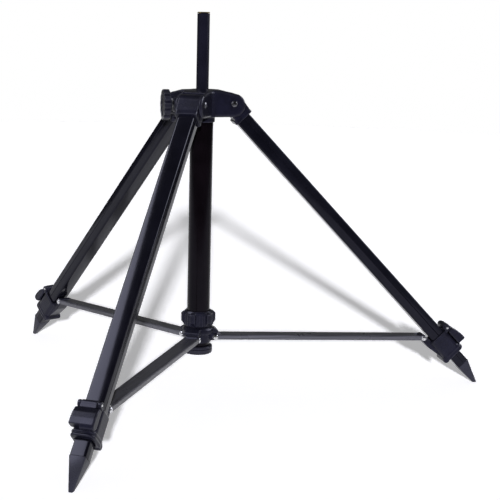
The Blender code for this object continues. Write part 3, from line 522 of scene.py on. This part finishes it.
TUBE_WALL, CAP_R, CAP_NECK_R, CAP_FLANGE = 1.2, 18.0, 12.5, 10.0


def centre_tube():
    """Drawn tube from the cap up into the crown."""
    low, high = (z / MM for z in node_height("centre_tube"))
    outer = TUBE_R / MM
    bm = bmesh.new()
    add_turned(bm, ring_solid(outer, outer - TUBE_WALL, low, high), 96)
    piece("centre_tube_drawn", bm, "frame", TUBE_FINISH, ["centre_tube"],
          spoke_frame(0))


def end_cap():
    """Foot of the tube: a cap with one groove round it and a rounded lower edge."""
    low, top = (z / MM for z in node_height("tube_end_cap"))
    flange = low + CAP_FLANGE
    profile = [(0, top), (CAP_NECK_R - 1, top), (CAP_NECK_R, top - 1), (CAP_NECK_R, flange)]
    profile += arc((CAP_R - 1.6, flange - 1.6), 1.6, 90, 0, 5)
    profile += [(CAP_R, flange - 2.9), (CAP_R - 0.8, flange - 3.3), (CAP_R - 0.8, flange - 3.9),
                (CAP_R, flange - 4.3)]
    profile += arc((CAP_R - 2.4, low + 2.4), 2.4, 0, -90, 6) + [(0, low)]
    bm = bmesh.new()
    add_turned(bm, profile, 96)
    piece("tube_foot_cap", bm, "frame", SATIN_NYLON, ["tube_end_cap"], spoke_frame(0))


THREAD_R, THREAD_PITCH, THREAD_DEPTH, SOCKET_R = 4.1, 1.6, 0.45, 5.7


def post():
    """Sliding post, and the brass socket in its top with its thread drawn as rings."""
    low, high = (z / MM for z in node_height("post_tube"))
    bm = bmesh.new()
    add_turned(bm, ring_solid(POST_R, POST_BORE_R, low, high), 80)
    piece("post_drawn", bm, "post", POST_FINISH, ["post_tube"], spoke_frame(0))

    base, top = (z / MM for z in node_height("threaded_insert"))
    flange = top - 1.4
    profile = [(0, base), (SOCKET_R, base), (SOCKET_R, flange), (POST_R, flange), (POST_R, top - 0.5),
               (POST_R - 0.4, top - 0.1), (POST_R - 0.7, top), (5.0, top), (4.75, top - 0.25)]
    z = top - 0.9
    while z > base + 4:
        profile += [(THREAD_R + THREAD_DEPTH, z), (THREAD_R, z - THREAD_PITCH / 2)]
        z -= THREAD_PITCH
    profile += [(THREAD_R, base + 3), (0, base + 3)]
    bm = bmesh.new()
    add_turned(bm, profile, 64)
    piece("brass_socket", bm, "post", BRASS, ["threaded_insert"], spoke_frame(0))


# ---------------------------------------------------------------- clamp knob
KNOB_R, KNOB_THICK, KNOB_FLUTES, FLUTE_DEPTH = 18.5, 8.0, 12, 1.5


def knob():
    """A fluted disc on a short neck, dished in front."""
    start = BOSS_END + 0.3 + 1.5
    face = start + 3.0
    outline = []
    steps = 12 * KNOB_FLUTES
    for i in range(steps):
        angle = math.tau * i / steps
        wave = max(0.0, -math.cos(KNOB_FLUTES * angle)) ** 1.5
        radius = KNOB_R - FLUTE_DEPTH * wave
        outline.append((radius * math.cos(angle), radius * math.sin(angle)))
    bm = bmesh.new()
    add_slab(bm, outline, face, face + KNOB_THICK, "X")
    round_edges(bm, 0.9, 3, 50)
    front = max((f for f in bm.faces if f.normal.x > 0.99), key=lambda f: f.calc_area())
    bmesh.ops.inset_region(bm, faces=[front], thickness=3.2, depth=0)
    bmesh.ops.inset_region(bm, faces=[front], thickness=0.8, depth=-0.9)
    add_turned(bm, [(0, 0), (7.0, 0), (7.5, 0.4), (7.5, 2.4), (8.6, 3.2), (0, 3.2)], 48,
               Matrix.Translation((start, 0, 0)) @ Matrix.Rotation(math.pi / 2, 4, "Y"))
    way = math.atan2(KNOB_AXIS.y, KNOB_AXIS.x)
    place = spoke_frame(way) @ Matrix.Translation((0, 0, BOSS_Z * MM))
    piece("clamp_knob", bm, "knob", SATIN_NYLON, ["lock_knob"], place, smooth=40)


# ---------------------------------------------------------------- hub and collar
HUB_BOTTOM, HUB_SKIRT, HUB_TOP = 66.0, 77.2, 86.0
HUB_PR, HUB_PZ = HUB_PIN_R / MM, HUB_PIN_Z / MM
TONGUE_WIDTH = 16.3
COLLAR_R, COLLAR_WING_R, COLLAR_HEIGHT = 18.0, 21.3, 19.6
WING_HALF, RIB_HALF = 3.1, 0.55


def hub():
    """Sliding hub: a barrel with three tongues for the arms, under a domed skirt with a brow over each."""
    forms = bmesh.new()
    dome = arc((13.5, HUB_TOP - 6.0), 6.0, 90, 0, 8)
    add_turned(forms, [(0, HUB_TOP)] + dome + [(19.5, HUB_SKIRT), (16.3, HUB_SKIRT), (16.3, HUB_BOTTOM),
                                                (0, HUB_BOTTOM)], 96)
    for azimuth in AZIMUTHS.values():
        tongue = arc((HUB_PR, HUB_PZ), 4.0, -90, 40, 10)
        tongue += [(HUB_PR + 1, HUB_SKIRT + 1.2), (11, HUB_SKIRT + 1.2), (11, HUB_PZ - 4)]
        merge(forms, slab(tongue, -TONGUE_WIDTH / 2, TONGUE_WIDTH / 2), turn(azimuth))
        brow = [(11, HUB_SKIRT + 0.2), (24.3, HUB_SKIRT + 0.2)]
        brow += arc((22.0, HUB_SKIRT + 2.2), 2.3, 0, 45, 3) + [(18.5, HUB_TOP - 2.0), (11, HUB_TOP - 1.0)]
        hood = slab(brow, -TONGUE_WIDTH / 2 - 1.2, TONGUE_WIDTH / 2 + 1.2)
        merge(forms, hood, turn(azimuth))
    cuts = [rod(TUBE_R / MM + 0.5, (0, 0, 50), (0, 0, 100), 96)]
    for azimuth in AZIMUTHS.values():
        hole = rod(2.5, (HUB_PR, -20, HUB_PZ), (HUB_PR, 20, HUB_PZ), 32)
        cuts.append(merge(bmesh.new(), hole, turn(azimuth)))
    bm = moulding(forms, cuts, 0.5, 5)
    piece("sliding_hub", bm, "hub", NYLON, ["hub"], spoke_frame(0), smooth=60)


def collar():
    """Locking collar: six grip wings with fine ribs between them."""
    base = HUB_TOP + 0.3
    top = base + COLLAR_HEIGHT
    forms = bmesh.new()
    add_turned(forms, [(14.8, top - 0.5), (15.3, top), (15.8, top), (COLLAR_R, top - 2.6),
                       (COLLAR_R, base + 1.2), (COLLAR_R - 1.2, base), (16.3, base), (16.3, top - 5),
                       (14.8, top - 5.0), (14.8, top - 0.5)], 96)
    for i in range(6):
        side = [(16.6, top - 1.2), (18, top - 1.2), (COLLAR_WING_R - 0.1, top - 3.8),
                (COLLAR_WING_R - 0.1, top - 13.5), (17.6, top - 18.0), (16.6, top - 18.0)]
        wing = slab(side, -WING_HALF, WING_HALF)
        round_edges(wing, 0.7, 3)
        merge(forms, wing, turn(math.tau * (i + 0.5) / 6))
        for place in (-15, -7, 7, 15):
            rib = slab([(17.2, top - 3.6), (18.8, top - 4.6), (18.8, base + 2.2), (17.2, base + 1.0)],
                       -RIB_HALF, RIB_HALF)
            merge(forms, rib, turn(math.tau * i / 6 + math.radians(place)))
    bm = moulding(forms, [], 0.4, 3)
    piece("grip_collar", bm, "collar", NYLON, ["lock_collar"], spoke_frame(0), smooth=60)


# ---------------------------------------------------------------- spreader arms
ARM_WIDTH, ARM_HEIGHT, ARM_WALL, ARM_TOP, ARM_OVERHANG = 19.3, 6.0, 1.2, 3.2, 4.2
NOTCH_DEPTH, NOTCH_ROUND = 8.6, 3.0
ARM_LENGTH = math.hypot(ear_out + CROWN_PIN_R - HUB_PIN_R, ear_b.z - HUB_PIN_Z) / MM
ARM_SLOPE = math.atan2(HUB_PIN_Z - ear_b.z, ear_out + CROWN_PIN_R - HUB_PIN_R)


def arm(leg):
    """Folded sheet channel, web up, its web cut back in a round notch at each rivet."""
    half, bottom = ARM_WIDTH / 2, ARM_TOP - ARM_HEIGHT
    bend, inside = 1.7, 0.6
    section = arc((half - bend, ARM_TOP - bend), bend, 0, 90, 5)
    section += arc((-half + bend, ARM_TOP - bend), bend, 90, 180, 5)
    section += [(-half, bottom), (-half + ARM_WALL, bottom)]
    section += arc((-half + ARM_WALL + inside, ARM_TOP - ARM_WALL - inside), inside, 180, 90, 3)
    section += arc((half - ARM_WALL - inside, ARM_TOP - ARM_WALL - inside), inside, 90, 0, 3)
    section += [(half - ARM_WALL, bottom), (half, bottom)]
    reach = ARM_OVERHANG
    channel = scratch(slab(section, -reach - 1, ARM_LENGTH + reach + 1, "X"), "channel")
    corner = -bottom
    side = arc((ARM_LENGTH + reach - corner, 0), corner, -90, 90, 12)
    side = [(x, z if z < 0 else z * ARM_TOP / corner) for x, z in side]
    near = arc((-reach + corner, 0), corner, 90, 270, 12)
    side += [(x, z if z < 0 else z * ARM_TOP / corner) for x, z in near]
    carve(channel, slab(side, -half - 1, half + 1), "INTERSECT")
    for end, way in ((0, 1), (ARM_LENGTH, -1)):
        notch = half - ARM_WALL - 0.02
        outline = [(end - way * 12, -notch)]
        outline += [(end + way * (NOTCH_DEPTH + NOTCH_ROUND * (x - 1)), notch * y)
                    for x, y in arc((0, 0), 1, -90, 90, 12)]
        outline += [(end - way * 12, notch)]
        carve(channel, slab(outline, 0.6, ARM_TOP + 2, "Z"))
        carve(channel, rod(2.5, (end, -half - 1, 0), (end, half + 1, 0), 32))
    bm = as_bmesh(channel)
    place = spoke_frame(AZIMUTHS[leg]) @ Matrix.Translation((HUB_PIN_R, 0, HUB_PIN_Z))
    place = place @ Matrix.Rotation(ARM_SLOPE, 4, "Y")
    piece("spreader_arm_" + leg, bm, "arm_" + leg, ARM_FINISH[leg], ["arm_" + leg],
          place)
    span = (-half - 0.2, half + 0.2)
    rivet("hub_rivet_" + leg, "arm_" + leg, "hub_pin_" + leg, span, span, ARM_RIVET, place)


# ---------------------------------------------------------------- legs
LEG_WIDTH, LEG_DEPTH, LEG_WALL = 21.6, 19.2, 1.1
INNER_WIDTH, INNER_DEPTH = 18.6, 16.2
S_EAR = EAR_S / MM
HOUSING_TOP = S_EAR + 11.4
HOUSING_BOTTOM = HOUSING_TOP + 34.0
LEG_END = HOUSING_BOTTOM - 7.8
SPIKE_TOP = HOUSING_BOTTOM + 18.0
OUTER_FACE, INNER_FACE = LEG_DEPTH / 2 + 2.4, -LEG_DEPTH / 2 - 4.5
SLEEVE_WIDTH = LEG_WIDTH + 2 * 2.7
LEVER_N, LEVER_S = LEG_DEPTH / 2 + 5.6, HOUSING_TOP - 1.0
LUG_THICK, LEVER_HALF, LEVER_PIN_R = 4.2, 14.0, 1.6
OUTER_TOP, INNER_LENGTH = 22.6, 290            # where the outer tube starts; the inner tube inside it
FOOT_R, TIP_DEEP, TIP_WIDE = 367.5, 2.8, 2.6


def leg_section(width, depth, corner, crown_out, keel, groove):
    """A leg's outline: a crowned outer face, sides that turn in at a keel line, a groove along each side.

    Points run round from the outer face; X is outward and Y across. One side is the other's mirror.
    """
    half_w, half_d = width / 2, depth / 2
    across = [i / 6 - 1 for i in range(13)]
    outline = [(half_d - crown_out * t * t, (half_w - corner) * t) for t in across]
    shoulder = half_d - crown_out
    side = arc((shoulder - corner + 0.2, half_w - keel - corner + 0.2), corner - 0.2, 12, 84, 5)
    line = 1.2
    side += [(line, half_w), (line - groove, half_w - groove), (line - 2 * groove, half_w)]
    side += [(-half_d + corner, half_w - keel * 0.6)]
    side += arc((-half_d + corner, half_w - keel * 0.6 - corner), corner, 90, 180, 5)[1:]
    mirrored = [(x, -y) for x, y in reversed(side)]
    return outline + side + mirrored


def tube_solid(section, wall, low, high):
    """A closed outline and its inward copy, bridged and drawn out along Z."""
    bm = bmesh.new()
    loops = []
    scale_x = 1 - wall / max(x for x, y in section)
    scale_y = 1 - wall / max(y for x, y in section)
    for points in (section, [(x * scale_x, y * scale_y) for x, y in section]):
        verts = [bm.verts.new((x, y, low)) for x, y in points]
        loops += [bm.edges.new(pair) for pair in zip(verts, verts[1:] + verts[:1])]
    rim = bmesh.ops.bridge_loops(bm, edges=loops)["faces"]
    moved = bmesh.ops.extrude_face_region(bm, geom=rim)["geom"]
    bmesh.ops.translate(bm, verts=[g for g in moved if isinstance(g, bmesh.types.BMVert)],
                        vec=(0, 0, high - low))
    return bm


def outer_leg(leg, place):
    """Outer leg tube, grooved along both sides."""
    section = leg_section(LEG_WIDTH, LEG_DEPTH, 2.2, 0.55, 0.5, 0.6)
    bm = tube_solid(section, LEG_WALL, -LEG_END, -OUTER_TOP)
    piece("outer_leg_tube_" + leg, bm, "leg_" + leg, LEG_FINISH[leg],
          ["outer_leg_" + leg], place)


def inner_leg(leg, place):
    """Inner leg tube, most of it inside the outer one."""
    section = leg_section(INNER_WIDTH, INNER_DEPTH, 1.9, 0.4, 0.4, 0.3)
    bm = tube_solid(section, LEG_WALL, -SPIKE_TOP, -(LEG_END - INNER_LENGTH))
    piece("inner_leg_tube_" + leg, bm, "inner_leg_" + leg, LEG_FINISH[leg],
          ["inner_leg_" + leg], place)


def leg_cap(leg, place):
    """Barrel that turns between the crown's cheeks, with a shoulder that holds the leg tube."""
    half = (FORK_GAP - 0.6) / 2
    offset = PIN_OFFSET / MM
    forms = rod(BARREL_R, (offset, -half, 0), (offset, half, 0), 96)
    back, front = offset - BARREL_R, offset + BARREL_R
    face = LEG_DEPTH / 2
    neck = [(front, 0), (back, 0), (back, -16.7), (face + 3.6, -16.7)]
    merge(forms, slab(neck, -half, half))
    shoulder = slab(box_outline(LEG_DEPTH + 5.6, 2 * half, 2.5), -22.3, -16.5, "Z")
    merge(forms, shoulder, Matrix.Translation((0.8, 0, 0)))
    merge(forms, slab(box_outline(LEG_DEPTH - 2.8, LEG_WIDTH - 2.8, 2), -42.3, -21.3, "Z"))
    hole = rod(2.7, (offset, -half - 1, 0), (offset, half + 1, 0), 32)
    bm = moulding(forms, [hole], 0.55, 4)
    piece("leg_top_fitting_" + leg, bm, "leg_" + leg, NYLON, ["leg_cap_" + leg], place,
          smooth=60)


def housing(leg, place):
    """Lock housing: a sleeve with an ear for the arm, rings round its foot and two lugs for the lever."""
    half = SLEEVE_WIDTH / 2
    middle = (OUTER_FACE + INNER_FACE) / 2
    sleeve = slab(box_outline(OUTER_FACE - INNER_FACE, SLEEVE_WIDTH, 5.6, 10),
                  -HOUSING_BOTTOM, -HOUSING_TOP, "Z")
    rim = [e for e in sleeve.edges if len(e.link_faces) == 2 and e.calc_face_angle(0) > 1.2]
    bmesh.ops.bevel(sleeve, geom=rim, offset=1.2, offset_type="OFFSET", segments=3, profile=0.5,
                    affect="EDGES", material=-1)
    forms = merge(bmesh.new(), sleeve, Matrix.Translation((middle, 0, 0)))
    ear_n = EAR_N / MM
    ear = arc((ear_n, -S_EAR), 4.0, 0, 180, 16)
    ear += [(ear_n - 4, -HOUSING_TOP - 2), (INNER_FACE - 1, -HOUSING_BOTTOM + 7.8),
            (INNER_FACE + 2, -HOUSING_BOTTOM + 7.8), (ear_n + 4, -HOUSING_TOP - 2)]
    merge(forms, slab(ear, -TONGUE_WIDTH / 2, TONGUE_WIDTH / 2))
    foot = (INNER_FACE + 0.8, -HOUSING_BOTTOM + 3.2)
    add_rod(forms, 4.2, (foot[0], -half + 1, foot[1]), (foot[0], half - 1, foot[1]), 40)
    for drop in (2.0, 6.0):
        ring = slab(box_outline(OUTER_FACE - INNER_FACE + 2.6, SLEEVE_WIDTH + 0.8, 6.6, 10),
                    -HOUSING_BOTTOM + drop - 1.6, -HOUSING_BOTTOM + drop + 1.6, "Z")
        round_edges(ring, 1.2, 4, 50)
        merge(forms, ring, Matrix.Translation((middle + 1.3, 0, 0)))
    for sign in (1, -1):
        low, high = sorted((sign * (half - 0.3), sign * (half - LUG_THICK)))
        lug = arc((LEVER_N, -LEVER_S), 4.0, -80, 150, 14)
        lug += [(OUTER_FACE - 1.5, -HOUSING_TOP - 0.2), (OUTER_FACE - 1.5, -HOUSING_TOP - 3.5)]
        merge(forms, slab(lug, low, high))
    cuts = [slab(box_outline(LEG_DEPTH + 0.5, LEG_WIDTH + 0.5, 2.6), -LEG_END - 0.3, -S_EAR + 20, "Z"),
            slab(box_outline(INNER_DEPTH + 0.9, INNER_WIDTH + 0.9, 2.4),
                 -HOUSING_BOTTOM - 10, -LEG_END + 2, "Z"),
            rod(4.9, (LEVER_N, -half + LUG_THICK, -LEVER_S), (LEVER_N, half - LUG_THICK, -LEVER_S), 48),
            rod(2.5, (ear_n, -20, -S_EAR), (ear_n, 20, -S_EAR), 32),
            rod(1.9, (LEVER_N, -20, -LEVER_S), (LEVER_N, 20, -LEVER_S), 24)]
    bm = moulding(forms, cuts, 0.5, 5)
    piece("lock_sleeve_" + leg, bm, "leg_" + leg, NYLON, ["lock_housing_" + leg], place,
          smooth=60)
    ear_place = place @ Matrix.Translation((EAR_N, 0, -EAR_S))
    span = (-ARM_WIDTH / 2 - 0.2, ARM_WIDTH / 2 + 0.2)
    rivet("ear_rivet_" + leg, "leg_" + leg, "ear_pin_" + leg, span, span, ARM_RIVET, ear_place)


def lever(leg, place):
    """Clamp lever: a boss between the lugs and a wide wedge, hollow behind, with a finger notch."""
    boss_half = SLEEVE_WIDTH / 2 - LUG_THICK - 0.3
    forms = rod(4.4, (0, -boss_half, 0), (0, boss_half, 0), 64)
    seat = OUTER_FACE + 0.6 - LEVER_N
    side = [(seat, -5.2), (4.2, -5.2), (7.2, -12), (8.4, -19), (8.4, -25.5), (6.8, -29.8), (1.8, -29.8),
            (seat, -25.6)]
    plate = slab(side, -LEVER_HALF, LEVER_HALF)
    round_edges(plate, 1.5, 4, 40)
    merge(forms, plate)
    merge(forms, slab([(seat, -6.2), (seat, -1), (4.2, -1), (4.0, -6.2)], -boss_half, boss_half))
    notch = slab(box_outline(34, 14, 3), -40, -26.2, "Z")
    notch.transform(Matrix.Translation((5, -8, 0)))
    hollow = slab([(seat - 2, -7.5), (3.0, -7.5), (5.2, -14), (6.0, -20), (6.0, -23.5), (seat - 2, -23.5)],
                  -LEVER_HALF + 3.0, LEVER_HALF - 3.0)
    bore = rod(1.9, (0, -LEVER_HALF - 1, 0), (0, LEVER_HALF + 1, 0), 32)
    bm = moulding(forms, [bore, notch, hollow], 0.45, 4)
    lever_place = place @ Matrix.Translation((LEVER_N * MM, 0, -LEVER_S * MM))
    piece("clamp_lever_" + leg, bm, "lever_" + leg, SATIN_NYLON, ["lever_" + leg], lever_place,
          smooth=60)
    pin = rod(LEVER_PIN_R, (0, -SLEEVE_WIDTH / 2 + 0.3, 0), (0, SLEEVE_WIDTH / 2 - 0.3, 0), 32)
    round_edges(pin, 0.35, 2)
    piece("lever_hinge_pin_" + leg, pin, "leg_" + leg, STEEL, ["lever_pin_" + leg],
          lever_place)


def spike(leg, place):
    """Foot: a square plug and a spike that tapers to a blunt tip, its edges rounded."""
    bm = bmesh.new()
    low = -SPIKE_TOP - 0.3
    sin_t, cos_t = math.sin(LEG_TILT), math.cos(LEG_TILT)
    corners = bmesh.ops.create_cube(bm, size=1)["verts"]
    for vert in corners:
        out, across = (1 if vert.co.x > 0 else -1), (1 if vert.co.y > 0 else -1)
        if vert.co.z > 0:
            vert.co = (out * INNER_DEPTH / 2, across * INNER_WIDTH / 2, low)
            continue
        dr, dz = FOOT_R + out * TIP_DEEP - PIN_R, -PIN_Z
        vert.co = (PIN_OFFSET / MM + dr * cos_t + dz * sin_t, across * TIP_WIDE, -(dr * sin_t - dz * cos_t))
    taper = [e for e in bm.edges if abs(e.verts[0].co.z - e.verts[1].co.z) > 15]
    bmesh.ops.bevel(bm, geom=taper, offset=1.6, offset_type="OFFSET", segments=4, profile=0.5,
                    affect="EDGES", material=-1)
    rims = [e for e in bm.edges if e.calc_face_angle(0) > math.radians(40)]
    bmesh.ops.bevel(bm, geom=rims, offset=0.5, offset_type="OFFSET", segments=2, profile=0.5,
                    affect="EDGES", material=-1)
    add_slab(bm, box_outline(13.2, 15.6, 1.5), -SPIKE_TOP - 1, -SPIKE_TOP + 16, "Z")
    piece("ground_spike_" + leg, bm, "inner_leg_" + leg, SATIN_NYLON, ["foot_spike_" + leg],
          place)


def small_parts():
    """Nodes kept as they are, with their own finishes."""
    guides = [(f"inner_leg_guide_{leg}", NYLON) for leg in AZIMUTHS]
    for name, finish in (("knob_screw", STEEL), ("clamp_pad", BRASS), ("post_guide", NYLON),
                         ("hub_collet", NYLON), *guides):
        kept = frame["nodes"][name]
        kept.data.materials.clear()
        kept.data.materials.append(finish)


# ---------------------------------------------------------------- studio
VIEW_AZIMUTH = math.radians(19.4)
DARK_AIR, BACKDROP_GLOW = 0.01, 0.12           # what black pieces reflect in front of them and behind
PAPER_GLOW = 0.28                              # the paper is lit from below too, as a light table is
PAPER_RADIUS, PAPER_BACK = 2.5, 1.6
SOFTBOX_TINT, SOFTBOX_RADIANCE = (0.90, 0.91, 1.0), 8.0
KEY_HEIGHT = math.radians(14.3)                # low, so that the shadows run far back


def studio():
    """White paper, a dark room with a pale backdrop, two softboxes at the sides and a low front light."""
    bm = bmesh.new()
    back = Matrix.Rotation(VIEW_AZIMUTH, 4, "Z") @ Matrix.Translation((0, PAPER_BACK, 0))
    bmesh.ops.create_circle(bm, cap_ends=True, segments=96, radius=PAPER_RADIUS, matrix=back)
    mesh = bpy.data.meshes.new("floor")
    bm.to_mesh(mesh)
    bm.free()
    floor = bpy.data.objects.new("floor", mesh)
    bpy.context.scene.collection.objects.link(floor)
    made, tree, shader, place = new_material("matt_white_paper")
    shade = node(tree, "ShaderNodeTexNoise", {"Scale": 3.0, "Detail": 2}, {"Vector": place}).outputs["Fac"]
    tone = node(tree, "ShaderNodeValToRGB", {"stops": [(0.3, colour("f4f4f9")), (0.7, colour("f6f6fb"))]},
                {"Fac": shade}).outputs["Color"]
    tree.links.new(tone, shader.inputs["Base Color"])
    shader.inputs["Roughness"].default_value = 0.9
    shader.inputs["Specular IOR Level"].default_value = 0.0
    shader.inputs["Emission Color"].default_value = grey(1)
    shader.inputs["Emission Strength"].default_value = PAPER_GLOW
    mesh.materials.append(made)

    world = bpy.data.worlds.new("studio_air")
    bpy.context.scene.world = world
    world.use_nodes = True
    tree = world.node_tree
    around = tree.nodes["Background"]
    direction = node(tree, "ShaderNodeTexCoord").outputs["Generated"]
    towards_back = node(tree, "ShaderNodeVectorMath", {"operation": "DOT_PRODUCT"}, {0: direction})
    towards_back.inputs[1].default_value = (-math.sin(VIEW_AZIMUTH), math.cos(VIEW_AZIMUTH), 0)
    glow = node(tree, "ShaderNodeValToRGB", {"stops": [(0.2, grey(DARK_AIR)), (0.95, grey(BACKDROP_GLOW))]},
                {"Fac": towards_back.outputs["Value"]}).outputs["Color"]
    tree.links.new(glow, around.inputs["Color"])
    white = node(tree, "ShaderNodeBackground", {"Color": grey(1), "Strength": 1.0})
    seen = node(tree, "ShaderNodeLightPath").outputs["Is Camera Ray"]
    mix = node(tree, "ShaderNodeMixShader", {}, {0: seen, 1: around.outputs[0], 2: white.outputs[0]})
    tree.links.new(mix.outputs[0], tree.nodes["World Output"].inputs["Surface"])

    front = Matrix.Rotation(VIEW_AZIMUTH, 3, "Z")

    def hang(name, lamp, place, target, reflected):
        """A lamp that is either only reflected, or only lights what it falls on."""
        obj = bpy.data.objects.new(name, lamp)
        place, target = (AXIS + front @ Vector(point) for point in (place, target))
        obj.location = place
        obj.rotation_euler = (target - place).to_track_quat("-Z", "Y").to_euler()
        obj.visible_glossy, obj.visible_diffuse = reflected, not reflected
        bpy.context.scene.collection.objects.link(obj)

    def softbox(name, place, target, width, height):
        """A large lamp that shows only as a reflection."""
        lamp = bpy.data.lights.new(name, "AREA")
        lamp.shape, lamp.size, lamp.size_y = "RECTANGLE", width, height
        lamp.energy = SOFTBOX_RADIANCE * math.pi * width * height
        lamp.color = SOFTBOX_TINT
        hang(name, lamp, place, target, True)

    def far_light(name, place, strength, spread):
        """A distant lamp that lights matt surfaces and casts the shadows."""
        lamp = bpy.data.lights.new(name, "SUN")
        lamp.energy, lamp.angle = strength, math.radians(spread)
        hang(name, lamp, place, (0, 0, 0), False)

    softbox("left_softbox", (-1.21, -0.32, 1.32), (-0.056, -0.16, 0.2), 1.6, 1.0)
    softbox("right_softbox", (1.65, 0.35, 1.1), (0.2, 0.05, 0.2), 1.2, 1.1)
    far_light("ceiling_glow", (0, 0, 3), 0.45, 150)
    far_light("front_key", (0, -3, 3 * math.tan(KEY_HEIGHT)), 8.2, 2.2)


def colour_management():
    """Plain display colours, so that the white paper shows white and black finishes stay black."""
    bpy.context.scene.view_settings.view_transform = "Standard"


CAMERA_PLACE = (0.5130, AXIS.y - 1.4567, 0.4662)
AIM_HEIGHT, CAMERA_ROLL = 0.200, math.radians(1.04)
SENSOR_WIDTH, LENS = 36, 92.0
SHIFT_X, SHIFT_Y = 0.1006, -0.0311


def camera():
    """At the stand's front, a little above it, with a long lens and a small shift."""
    data = bpy.data.cameras.new("camera")
    obj = bpy.data.objects.new("camera", data)
    obj.location = CAMERA_PLACE
    look = (AXIS + Vector((0, 0, AIM_HEIGHT)) - obj.location).to_track_quat("-Z", "Y")
    obj.rotation_euler = (look.to_matrix().to_4x4() @ Matrix.Rotation(CAMERA_ROLL, 4, "Z")).to_euler()
    data.sensor_width, data.lens = SENSOR_WIDTH, LENS
    data.shift_x, data.shift_y = SHIFT_X, SHIFT_Y
    data.clip_start, data.clip_end = 0.05, 50
    bpy.context.scene.collection.objects.link(obj)
    bpy.context.scene.camera = obj


crown()
crown_rivets()
centre_tube()
end_cap()
post()
knob()
hub()
collar()
for leg in AZIMUTHS:
    arm(leg)
    place = leg_frame(leg)
    leg_cap(leg, place)
    outer_leg(leg, place)
    housing(leg, place)
    lever(leg, place)
    inner_leg(leg, place)
    spike(leg, place)
small_parts()
studio()
colour_management()
camera()
